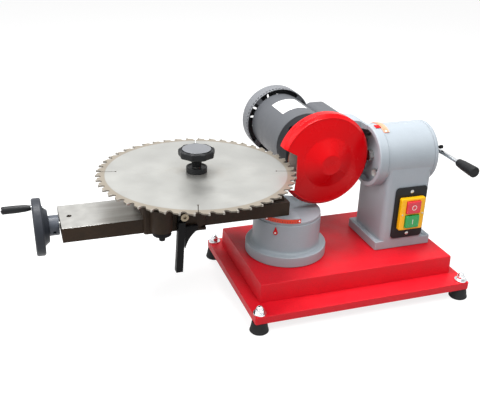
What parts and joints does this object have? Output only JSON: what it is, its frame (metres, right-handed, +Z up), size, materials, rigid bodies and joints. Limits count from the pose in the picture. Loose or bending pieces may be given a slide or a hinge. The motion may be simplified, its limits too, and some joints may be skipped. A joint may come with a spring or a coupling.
{
  "type": "saw blade sharpening machine",
  "caption": "Bench machine that grinds circular saw blades: a swivelling arm carries the blade flat on a screw-driven carriage, and a lever feeds a tilting motor head with a dish wheel.",
  "frame": {"origin": "on the floor plane of the feet, under the centre of the whole machine's outline as stored", "axes": "+X along the arm from the handwheel to the lever end, +Y from the switch side to the motor's fan cover, +Z up"},
  "size_m": [0.7462, 0.4034, 0.3063],
  "materials": {
    "red_paint": "fine textured paint",
    "guard_paint": "gloss paint",
    "grey_casting": "satin paint on a casting",
    "motor_housing": "dark grey paint",
    "dark_iron": "oiled and ground",
    "chrome": "polished",
    "steel": "machined",
    "blade_steel": "ground",
    "rubber": "matt",
    "black_plastic": "fine grain",
    "handwheel_plastic": "fine grain",
    "scale_orange": "printed strip",
    "switch_yellow": "moulded",
    "stop_red": "moulded",
    "start_green": "moulded",
    "abrasive": "bonded grain"
  },
  "bodies": {
    "base": {"base_plate": "red_paint", "base_box": "red_paint", "foot_front_left": "rubber", "foot_front_right": "rubber", "foot_rear_left": "rubber", "foot_rear_right": "rubber", "foot_bolt_front_left": "chrome", "foot_bolt_front_right": "chrome", "foot_bolt_rear_left": "chrome", "foot_bolt_rear_right": "chrome", "swivel_base": "grey_casting", "swivel_pointer": "guard_paint", "head_column": "grey_casting", "head_end_cap": "grey_casting", "head_scale": "scale_orange", "feed_stop_screw": "black_plastic", "cable_gland": "black_plastic", "switch_plate": "black_plastic", "switch_frame": "switch_yellow"},
    "stop_button": {"stop_button": "stop_red"},
    "start_button": {"start_button": "start_green"},
    "arm": {"swivel_table": "grey_casting", "swivel_scale": "scale_orange", "arm_bar": "dark_iron", "arm_clamp_plate": "dark_iron", "arm_clamp_bolt_front": "steel", "arm_clamp_bolt_rear": "steel"},
    "handwheel": {"lead_screw": "steel", "handwheel": "handwheel_plastic", "handwheel_collar": "grey_casting", "crank_pin": "chrome"},
    "crank_grip": {"crank_grip": "black_plastic"},
    "carriage": {"carriage_saddle": "dark_iron", "lead_screw_nut": "dark_iron", "boss_bolt": "dark_iron", "blade_arbor": "steel", "finger_screw": "chrome"},
    "saw_blade": {"saw_blade": "blade_steel"},
    "clamp_collar": {"clamp_collar": "black_plastic"},
    "clamp_knob": {"clamp_knob": "black_plastic"},
    "tooth_stop": {"finger_bar": "dark_iron", "finger_plate": "dark_iron"},
    "feed_shaft": {"feed_shaft": "steel", "tilt_bolt_upper": "steel", "tilt_bolt_lower": "steel", "pivot_bolt": "steel"},
    "feed_lever": {"feed_lever": "chrome", "lever_grip": "black_plastic"},
    "grinding_head": {"head_bracket": "grey_casting", "head_pointer": "guard_paint", "motor_bell": "motor_housing", "motor_body": "motor_housing", "fan_cover": "black_plastic", "terminal_box": "motor_housing", "wheel_guard": "guard_paint", "guard_bracket": "dark_iron"},
    "rotor": {"rotor_shaft": "steel", "cooling_fan": "black_plastic", "grinding_wheel": "abrasive", "wheel_nut": "steel"}
  },
  "joints": [
    {"name": "stop_press", "type": "slide", "parent": "base", "child": "stop_button", "axis": [0, 1, 0], "range_m": [0, 0.0025], "stiffness_N_per_m": 900, "springref_m": -0.001},
    {"name": "start_press", "type": "slide", "parent": "base", "child": "start_button", "axis": [0, 1, 0], "range_m": [0, 0.0025], "stiffness_N_per_m": 900, "springref_m": -0.001},
    {"name": "arm_swivel", "type": "hinge", "parent": "base", "child": "arm", "pos_m": [0.08445, -0.04425, 0.1495], "axis": [0, 0, 1], "range_deg": [-15, 15]},
    {"name": "handwheel_turn", "type": "hinge", "parent": "arm", "child": "handwheel", "pos_m": [-0.30555, -0.04425, 0.1605], "axis": [1, 0, 0], "range_deg": [0, 9450]},
    {"name": "crank_grip_turn", "type": "hinge", "parent": "handwheel", "child": "crank_grip", "pos_m": [-0.34555, -0.04425, 0.1935], "axis": [1, 0, 0], "continuous": true},
    {"name": "carriage_slide", "type": "slide", "parent": "arm", "child": "carriage", "axis": [1, 0, 0], "range_m": [-0.105, 0]},
    {"name": "blade_turn", "type": "hinge", "parent": "carriage", "child": "saw_blade", "pos_m": [-0.07405, -0.04425, 0.2245], "axis": [0, 0, 1], "continuous": true},
    {"name": "collar_lift", "type": "slide", "parent": "carriage", "child": "clamp_collar", "axis": [0, 0, 1], "range_m": [0, 0.0035]},
    {"name": "knob_turn", "type": "hinge", "parent": "clamp_collar", "child": "clamp_knob", "pos_m": [-0.07405, -0.04425, 0.2595], "axis": [0, 0, 1], "range_deg": [0, 720]},
    {"name": "stop_swing", "type": "hinge", "parent": "carriage", "child": "tooth_stop", "pos_m": [-0.10855, -0.09425, 0.1765], "axis": [0, 1, 0], "range_deg": [-5, 12]},
    {"name": "feed_slide", "type": "slide", "parent": "base", "child": "feed_shaft", "axis": [1, 0, 0], "range_m": [-0.005, 0]},
    {"name": "feed_lever_turn", "type": "hinge", "parent": "base", "child": "feed_lever", "pos_m": [0.34695, -0.06025, 0.2335], "axis": [0, 0, 1], "range_deg": [0, 18]},
    {"name": "head_tilt", "type": "hinge", "parent": "feed_shaft", "child": "grinding_head", "pos_m": [0.22445, -0.04425, 0.2245], "axis": [1, 0, 0], "range_deg": [-20, 20]},
    {"name": "wheel_spin", "type": "hinge", "parent": "grinding_head", "child": "rotor", "pos_m": [0.14445, -0.04425, 0.227], "axis": [0, 1, 0], "continuous": true}
  ],
  "couplings": [
    {"joint": "handwheel_turn", "follows": "carriage_slide", "rad_per_m": -1570.8},
    {"joint": "knob_turn", "follows": "collar_lift", "rad_per_m": 3590.4},
    {"joint": "feed_lever_turn", "follows": "feed_slide", "rad_per_m": -62.5}
  ]
}
